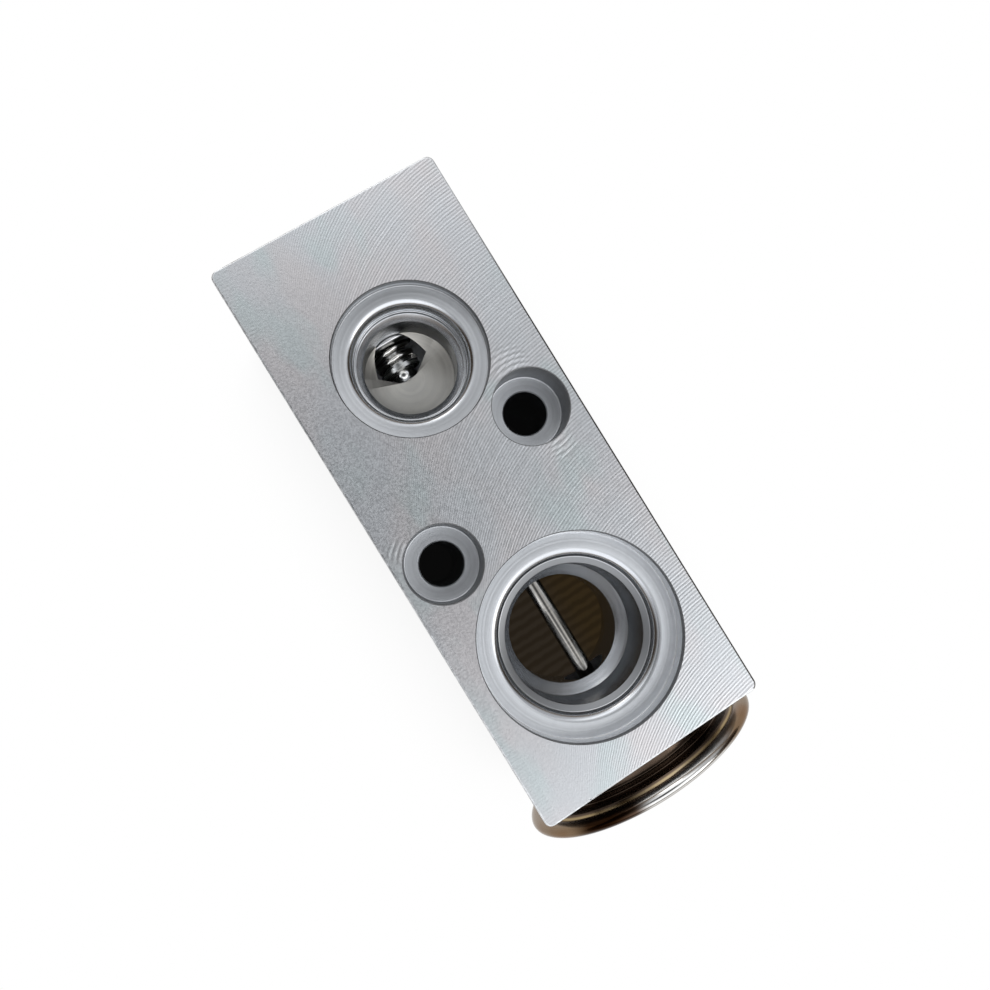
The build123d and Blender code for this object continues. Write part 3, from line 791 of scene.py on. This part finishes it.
def steel(name, colour, rough, tint=0.0, painted_head_light=False):
    """Pressed stainless sheet: faint rings, a heat tint in patches and, on the head, painted light and shade.
    """
    ring_height, fine_height, underside_height = 0.003, 0.006, 0.01
    s = Shade(name, colour, rough=rough, Anisotropic=0.25)
    p = s.place()
    radius, height = around(s, p, VALVE_AXIS)
    rings = s.noise(s.math("ADD", radius, height), 3.0, detail=4.0, rough=0.6, dimensions="1D")
    s.add_height(rings, ring_height)
    s.add_height(s.noise(p, 2.0, detail=3.0), fine_height)
    patch = s.noise(p, 0.16)
    base = s.mix(s.span(patch, 0.4, 0.66, tint * 0.35, tint), colour, times(colour, HEAT_TINT))
    base = shades(s, rings, *NOISE, base, 0.85, 1.08)
    if painted_head_light:
        x = s.parts(p)[0]
        # Painted brown reflections at the rim's sides, away from its bright middle
        brown_reflection = s.span(s.math("ABSOLUTE", s.math("SUBTRACT", x, BRIGHT_X)), *PAINTED_BROWN_FROM)
        base = s.mix(brown_reflection, colour, s.toned(1.0, base, PAINTED_BROWN_REFLECTION))
        # A painted dark reflection in a band on the left of the head
        base = s.toned(s.window(x, PAINTED_DARK_PATCH_FROM, PAINTED_DARK_PATCH_TO), base, PAINTED_DARK_PATCH)
        # A painted dark reflection along the rim's outer edge
        base = s.toned(s.span(height, *PAINTED_EDGE_SHADE_STATIONS), base, PAINTED_EDGE_SHADE_TONE)
        # Painted shade and dark reflection on the underside inside the rim, with its own bumps
        underside_shade = s.span(s.math("ADD", radius, s.math("MULTIPLY", patch, 0.6)), *PAINTED_UNDERSIDE_RADII, 1.0, 0.0)
        s.add_height(s.math("MULTIPLY", rings, underside_shade), underside_height)
        # A painted golden highlight at the edge of the painted underside shade
        golden_highlight = s.window(radius, GOLDEN_HIGHLIGHT_FROM, GOLDEN_HIGHLIGHT_TO)
        underside_shade_colour = s.mix(s.span(rings, 0.52, 0.72), PAINTED_UNDERSIDE_SHADE, PAINTED_UNDERSIDE_WARM)
        base = s.mix(underside_shade, base, s.mix(golden_highlight, underside_shade_colour, PAINTED_GOLDEN_HIGHLIGHT))
    return s.finish(base, s.span(rings, *NOISE, rough * 0.8, rough * 1.25))


head_steel = steel("head_steel", STEEL, 0.16, tint=0.8, painted_head_light=True)
cover_steel = steel("cover_steel", STEEL, 0.22, tint=0.5)


def housing_outline():
    """The head's lower half: hub, collar, dished underside, rolled rim and the cavity inside."""
    hub, hub_bore, chamfer, collar, flat = 12.0, 9.0, 0.6, 14.2, 1.3
    hub_end = LENGTH - HUB_DEPTH
    slot, slot_top, shelf = BEAD_CENTRE + 0.05, FLANGE_STATION + SHEET, BEAD_CENTRE - 1.2
    cavity, cavity_floor = 13.2, 89.45
    outline = [(hub_bore, hub_end), (hub - chamfer, hub_end), (hub, hub_end + chamfer), (hub, LENGTH)]
    collar_part = [(hub, LENGTH), (collar, LENGTH), (collar, COLLAR_TOP), (collar + flat, COLLAR_TOP)]
    outline += rounded(collar_part, [0, 0.12, 0.2, 0])[1:]

    # The rolled rim is broader than its edge is thick: an ellipse that starts in the crease
    rim_reach, crease_in, fold, slope_in, rim_steps = 1.5, 0.75, 0.35, 1.9, 32
    rim_centre = RIM_RADIUS - rim_reach
    crease = rim_centre - crease_in
    start = -pi + acos(crease_in / rim_reach)
    crease_station = RIM_STATION + BEAD * sin(start)
    under = [(collar + flat, COLLAR_TOP), (crease - slope_in, DISH_EDGE - 0.55)]
    under += [(crease - fold, DISH_EDGE - 0.25), (crease - 0.05, crease_station + 0.1)]
    under += [(crease, crease_station)]
    outline += rounded(under, [0, 0.5, 0.25, 0.05, 0])[1:-1]
    for k in range(rim_steps + 1):
        angle = start + (pi / 2 - start) * k / rim_steps
        outline.append((rim_centre + rim_reach * cos(angle), RIM_STATION + BEAD * sin(angle)))
    inner = [(shelf, RIM_STATION + BEAD), (shelf, slot_top), (slot, slot_top), (slot, DIAPHRAGM_STATION)]
    inner += [(shelf, DIAPHRAGM_STATION), (cavity, DISH_EDGE), (cavity, cavity_floor)]
    inner += [(hub_bore, cavity_floor)]
    return outline + rounded([outline[-1]] + inner, [0, 0.25] + [0] * 7, steps=4)[1:]


def wear(node_name, material):
    """Gives a CAD node a finished material."""
    mesh = nodes[node_name].data
    mesh.materials.clear()
    mesh.materials.append(material)
    smooth(mesh, 30)


def dress_head():
    outline = housing_outline()
    housing = lathe("head_housing", outline, head_steel, "body", "lower_housing", 224, closed=True)
    wear("head_cover", cover_steel)
    wear("charge_plug", cover_steel)


dress_head()


# The moving parts
ROD_STEEL, BALL_STEEL, WIRE_STEEL = (0.42, 0.4, 0.37), (0.8, 0.79, 0.77), (0.78, 0.76, 0.72)
rod_steel = turned("rod_steel", VALVE_AXIS, ROD_STEEL, rough=0.12, pitch=0.3, depth=0.0002, grooves=0.002)
ball_steel = turned("ball_steel", VALVE_AXIS, BALL_STEEL, rough=0.07, depth=0.0, shine=0.0, grooves=0.0005)
spring_steel = turned("spring_steel", VALVE_AXIS, WIRE_STEEL, rough=0.12, depth=0.0, shine=0.1, grooves=0.002)
holder_steel = turned("holder_steel", VALVE_AXIS, (0.6, 0.6, 0.59), rough=0.26)
screw_metal = turned("screw_metal", VALVE_AXIS, (0.66, 0.66, 0.66), rough=0.22)
plate_metal = turned("plate_metal", VALVE_AXIS, (0.62, 0.62, 0.63), rough=0.34)
diaphragm_steel = steel("diaphragm_steel", (0.62, 0.6, 0.56), 0.25)
retainer_metal = steel("retainer_metal", (0.55, 0.54, 0.52), 0.3)


def rubber():
    """Smooth dark green rubber with a faint grain."""
    dark_green, light_green, grain_height = (0.015, 0.035, 0.022), (0.03, 0.06, 0.04), 0.01
    s = Shade("seal_rubber", dark_green, metal=0.0, rough=0.5)
    grain = s.noise(s.place(), 5.0, detail=3.0)
    s.add_height(grain, grain_height)
    return s.finish(s.mix(grain, dark_green, light_green), s.span(grain, *NOISE, 0.42, 0.6))


seal_rubber = rubber()


def coil_mesh(turn_from, turn_to):
    """A stretch of the spring: close wound at both ends, open between."""
    wire_sides, per_turn, ahead = 20, 72, 0.002
    closed, gap = 1.0, 0.03
    active = SPRING_TURNS - 2 * closed
    radius = SPRING_OUTER - SPRING_WIRE / 2
    closed_pitch = SPRING_WIRE + gap
    active_pitch = (SPRING_LENGTH - SPRING_WIRE - 2 * closed_pitch * closed) / active
    bottom = SPRING_FLOOR + SPRING_WIRE / 2

    def height(turn):
        low = min(turn, closed) * closed_pitch
        middle = min(max(turn - closed, 0), active) * active_pitch
        high = max(turn - closed - active, 0) * closed_pitch
        return bottom + low + middle + high

    def at(turn):
        angle = 2 * pi * turn
        return VALVE_AXIS @ Vector((radius * cos(angle), radius * sin(angle), height(turn)))

    bm = bmesh.new()
    count = int(per_turn * (turn_to - turn_from))
    rings = []
    for i in range(count + 1):
        turn = turn_from + (turn_to - turn_from) * i / count
        centre = at(turn)
        forward = (at(turn + ahead) - at(turn - ahead)).normalized()
        foot = VALVE_AXIS @ Vector((0, 0, height(turn)))
        out = (centre - foot).normalized()
        side = forward.cross(out).normalized()
        ring = []
        for k in range(wire_sides):
            angle = 2 * pi * k / wire_sides
            ring.append(bm.verts.new(centre + (out * cos(angle) + side * sin(angle)) * SPRING_WIRE / 2))
        rings.append(ring)
    skin(bm, rings)
    return bm


def dress_spring():
    """The spring in two halves, an upper and a lower one, in place of the CAD spring."""
    middle = SPRING_TURNS / 2
    upper = mesh_object("spring_upper", coil_mesh(middle, SPRING_TURNS), spring_steel)
    lower = mesh_object("spring_lower", coil_mesh(0, middle), spring_steel)
    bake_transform(upper)
    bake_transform(lower)
    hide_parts("valve_spring")
    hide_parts("valve_spring")


def dress_needle():
    """What the diaphragm pushes: the rod with its thin tip, the ball, its holder and the plate."""
    neck = OUTLET_STATION - ORIFICE_RADIUS
    tip, chamfer, taper, ball_steps = 0.8, 0.1, 0.55, 32
    rod_end, rod_top = BALL_STATION + BALL_RADIUS, 87.7
    outline = [(0, rod_end), (tip - chamfer, rod_end), (tip, rod_end + chamfer), (tip, neck - taper)]
    outline += [(ROD_RADIUS, neck), (ROD_RADIUS, rod_top), (0, rod_top)]
    rod = lathe("rod", outline, rod_steel, "needle", "operating_rod", 64)
    ball_outline = []
    for k in range(ball_steps + 1):
        angle = -pi / 2 + pi * k / ball_steps
        ball_outline.append((max(BALL_RADIUS * cos(angle), 0.0), BALL_STATION + BALL_RADIUS * sin(angle)))
    ball = lathe("ball", ball_outline, ball_steel, "needle", "valve_ball", 64, sharp=80)
    wear("ball_holder", holder_steel)
    wear("push_plate", plate_metal)


def dress_screw():
    """The adjusting screw: a land with its seal groove, a cut thread, a smooth nose and a socket."""
    land, thread, groove, cup = 7.35, 6.95, 5.88, SPRING_OUTER + 0.5
    land_end, thread_end, groove_width = SCREW_RECESS + 3.4, SCREW_RECESS + 10.6, 1.9
    groove_near = (SCREW_RECESS + land_end - groove_width) / 2
    groove_far = groove_near + groove_width
    chamfer, pitch, thread_depth, flank_rings, flank_share, close = 0.3, 1.0, 0.32, 8, 1.15, 1e-3
    rim = SCREW_RIM_STATION
    points = [(0, SCREW_RECESS), (land - chamfer, SCREW_RECESS), (land, SCREW_RECESS + chamfer)]
    points += [(land, groove_near), (groove, groove_near), (groove, groove_far), (land, groove_far)]
    points += [(land, land_end), (SCREW_NOSE_RADIUS, land_end + 0.05)]
    ring_count = round((thread_end - land_end - 2 * chamfer) / pitch * flank_rings)
    for k in range(ring_count + 1):
        points.append((thread, land_end + chamfer + k * pitch / flank_rings))
    points += [(SCREW_NOSE_RADIUS, thread_end)]
    nose = [(SCREW_NOSE_RADIUS, rim), (cup, rim), (cup, SPRING_FLOOR), (0, SPRING_FLOOR)]
    points += rounded([points[-1]] + nose, [0, chamfer, 0.15, 0.2, 0])[1:]

    bm = lathe_mesh(points, VALVE_AXIS, 144)
    to_axis = VALVE_AXIS.inverted()
    for vert in bm.verts:
        local = to_axis @ vert.co
        radius = sqrt(local.x**2 + local.y**2)
        if abs(radius - thread) < close and land_end < local.z < thread_end:
            turn = atan2(local.y, local.x) / (2 * pi)
            share = (local.z / pitch - turn) % 1.0
            kept = 1 - thread_depth * max(0.0, 1 - abs(2 * share - 1) * flank_share) / radius
            vert.co = VALVE_AXIS @ Vector((local.x * kept, local.y * kept, local.z))
    screw = mesh_object("screw", bm, screw_metal, 40)
    socket_radius, socket_floor, socket_point = 3.0 / cos(pi / 6), SCREW_RECESS + 4.0, 0.8
    socket = [(0, -CUTTER_REACH), (socket_radius, -CUTTER_REACH), (socket_radius, socket_floor)]
    socket += [(0, socket_floor + socket_point)]
    cut(screw, "socket", lathe_mesh(socket, VALVE_AXIS, 6), screw_metal)
    smooth(screw.data, 40)
    flatten(screw)
    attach(screw, "screw")
    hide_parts("adjusting_screw")


dress_spring()
dress_needle()
dress_screw()
wear("diaphragm", diaphragm_steel)
wear("seal_retainer", retainer_metal)
for seal in ("rod_seal", "head_seal", "screw_seal"):
    wear(seal, seal_rubber)


# Floor, light and camera
WHITE = (1.0, 1.0, 1.0)
FLOOR_REACH, FLOOR_GREY = 3000, (0.8, 0.8, 0.8)
CONTACT_REACH, CONTACT_SHADE = 0.03, 0.85
# Colours of the shade under the object: the contact shade, and the painted shadow under the block with its
# woven cloth pattern
UNDER_GREY = (0.026, 0.02, 0.014)
UNDER_BROWN = (0.03, 0.02, 0.009)
UNDER_DARK = (0.012, 0.008, 0.004)
UNDER_BLACK = (0.003, 0.003, 0.003)
UNDER_FADE = 3.0
GREY_X, BROWN_X = 0.5, 7.5
WOVEN_RADII = (13.0, 15.0)
WEAVE_PITCH = 1.7


def stage_floor():
    """A white floor for the eye and for mirrors, shaded near the object.

    Under the block a painted shadow darkens it: a woven brown cloth pattern below the suction passage, black
    elsewhere.
    """
    bm = bmesh.new()
    bmesh.ops.create_grid(bm, x_segments=1, y_segments=1, size=FLOOR_REACH)
    s = Shade("floor", FLOOR_GREY, metal=0.0, rough=0.9)
    floor = mesh_object("floor", bm, s.material)
    path = s.node("ShaderNodeLightPath")
    p = s.place()
    x, y, _ = s.parts(p)
    contact = s.node("ShaderNodeAmbientOcclusion", samples=16)
    contact.inputs["Distance"].default_value = CONTACT_REACH
    lit = s.span(contact.outputs["AO"], 0.2, 0.8, CONTACT_SHADE, 1.0)
    # A painted shadow over the block's footprint, fading in over its last millimetres
    past_side = s.math("SUBTRACT", s.math("ABSOLUTE", x), HALF_WIDTH)
    past_end = s.math("SUBTRACT", s.math("ABSOLUTE", s.math("SUBTRACT", y, END_Y - LENGTH / 2)), LENGTH / 2)
    past_edge = s.math("MAXIMUM", past_side, past_end)
    painted_shadow = s.span(past_edge, -UNDER_FADE, 0.0, 1.0, 0.0)
    weave = s.math("SINE", s.math("MULTIPLY", s.math("ADD", y, s.noise(p, 0.5)), 2 * pi / WEAVE_PITCH))
    brown = s.mix(s.span(x, GREY_X, BROWN_X), UNDER_GREY, UNDER_BROWN)
    woven = s.mix(s.span(weave, -1.0, 1.0, 0.0, 0.5), brown, UNDER_DARK)
    from_port = s.vector("DISTANCE", p, (0.0, END_Y - SUCTION_STATION, 0.0))
    under = s.mix(s.span(from_port, *WOVEN_RADII), woven, UNDER_BLACK)
    light = s.node("ShaderNodeEmission")
    s.link(s.mix(painted_shadow, s.mix(lit, UNDER_GREY, WHITE), under), light.inputs["Color"])
    mirrored = s.math("MAXIMUM", path.outputs["Is Glossy Ray"], path.outputs["Is Transmission Ray"])
    seen = s.math("MAXIMUM", path.outputs["Is Camera Ray"], mirrored)
    mix = s.node("ShaderNodeMixShader")
    s.link(seen, mix.inputs["Fac"])
    s.link(s.shader.outputs["BSDF"], mix.inputs[1])
    s.link(light.outputs["Emission"], mix.inputs[2])
    s.link(mix.outputs["Shader"], s.tree.nodes["Material Output"].inputs["Surface"])


CAMERA_STATION = 46.41
CAMERA_PLACE = (-15.34, END_Y - CAMERA_STATION, 153.89)
CAMERA_TURN = (4.4387, -6.2702, -31.8235)
CAMERA_LENS, CAMERA_SENSOR = 31.198, 36
CAMERA_SHIFT = (-0.00143, -0.00206)
CAMERA_NEAR, CAMERA_FAR = 0.005, 20

# The picture's right, its top and the way to the camera, which aim the light
RIGHT = Vector((0.845, -0.524, 0.109))
UP = Vector((0.519, 0.852, 0.077))
TOWARDS = Vector((-0.133, -0.008, 0.991))

ROOM_HIGH, ROOM_LOW, ROOM_TURNS = (0.62, 0.63, 0.65), (0.2, 0.155, 0.115), (0.25, 0.65)
DARK_BROWN = (0.05, 0.036, 0.024)
# The room's patches: an aim, the angles where a patch is full and where it ends, a colour
ROOM_PATCHES = (
    (RIGHT * 0.52 - UP * 0.38 + TOWARDS * 0.76, 10, 38, (1.6, 1.63, 1.66)),
    (UP * 0.52 - RIGHT * 0.02 + TOWARDS * 0.85, 6, 28, (1.75, 1.78, 1.82)),
    (-UP * 0.6 + RIGHT * 0.06 + TOWARDS * 0.78, 10, 34, (1.62, 1.65, 1.7)),
    (UP * 0.11 + RIGHT * 0.01 + TOWARDS, 5, 28.5, (0.08, 0.084, 0.088)),
    (-RIGHT * 0.9 + UP * 0.05 + TOWARDS * 0.4, 20, 42, DARK_BROWN),
    (RIGHT * 0.9 + UP * 0.3 + TOWARDS * 0.1, 14, 34, DARK_BROWN),
)
# Mirrors show the white backdrop near the horizon, up to the second level, but not towards a dark
# wall: it begins at the first angle from its middle and is full at the second
BACKDROP_LEVELS = (0.08, 0.2)
DARK_WALL, WALL_ANGLES = RIGHT * 0.95 + UP * 0.2, (55, 35)


def stage_world():
    """A room with light and dark patches for the object; white to the camera."""
    world = bpy.data.worlds.new("room")
    bpy.context.scene.world = world
    world.use_nodes = True
    n = Nodes(world.node_tree)
    direction = n.node("ShaderNodeTexCoord").outputs["Generated"]
    height = n.parts(direction)["Z"]
    colour = n.mix(n.span(height, *ROOM_TURNS), ROOM_LOW, ROOM_HIGH)
    for aim, near, far, shade in ROOM_PATCHES:
        closeness = n.vector("DOT_PRODUCT", direction, tuple(aim.normalized()))
        weight = n.span(closeness, cos(radians(far)), cos(radians(near)))
        colour = n.mix(weight, colour, shade)
    path = n.node("ShaderNodeLightPath").outputs
    toward_wall = n.vector("DOT_PRODUCT", direction, tuple(DARK_WALL.normalized()))
    wall_from, wall_full = (cos(radians(angle)) for angle in WALL_ANGLES)
    open_side = n.span(toward_wall, wall_from, wall_full, 1.0, 0.0)
    by_horizon = n.span(n.math("ABSOLUTE", height), *BACKDROP_LEVELS, 1.0, 0.0)
    by_backdrop = n.math("MULTIPLY", by_horizon, open_side)
    mirrored = n.math("MAXIMUM", path["Is Glossy Ray"], path["Is Transmission Ray"])
    seen = n.math("MAXIMUM", path["Is Camera Ray"], n.math("MULTIPLY", mirrored, by_backdrop))
    n.link(n.mix(seen, colour, WHITE), n.tree.nodes["Background"].inputs["Color"])


def lamp(name, direction, size):
    """A square soft box, facing the object."""
    distance, glow = 0.6, 2.0
    data = bpy.data.lights.new(name, "AREA")
    data.size = size
    data.energy = glow * pi * size**2
    obj = bpy.data.objects.new(name, data)
    middle = Vector((0, 0, AXIS_Z * MM))
    obj.location = middle + direction.normalized() * distance
    obj.rotation_euler = (middle - obj.location).to_track_quat("-Z", "Y").to_euler()
    bpy.context.scene.collection.objects.link(obj)


def place_camera():
    """The photo's camera, as fitted to the block's edges and the rims of its ports."""
    data = bpy.data.cameras.new("camera")
    data.lens = CAMERA_LENS
    data.sensor_width = CAMERA_SENSOR
    data.sensor_fit = "HORIZONTAL"
    data.shift_x, data.shift_y = CAMERA_SHIFT
    data.clip_start, data.clip_end = CAMERA_NEAR, CAMERA_FAR
    camera = bpy.data.objects.new("camera", data)
    camera.location = Vector(CAMERA_PLACE) * MM
    camera.rotation_euler = [radians(a) for a in CAMERA_TURN]
    bpy.context.scene.collection.objects.link(camera)
    bpy.context.scene.camera = camera


bpy.context.scene.view_settings.view_transform = "Standard"
stage_floor()
stage_world()
lamp("soft_right", RIGHT * 0.95 - UP * 0.2 + TOWARDS * 0.75, 0.25)
lamp("soft_top", UP * 0.9 - RIGHT * 0.35 + TOWARDS * 0.6, 0.2)
place_camera()
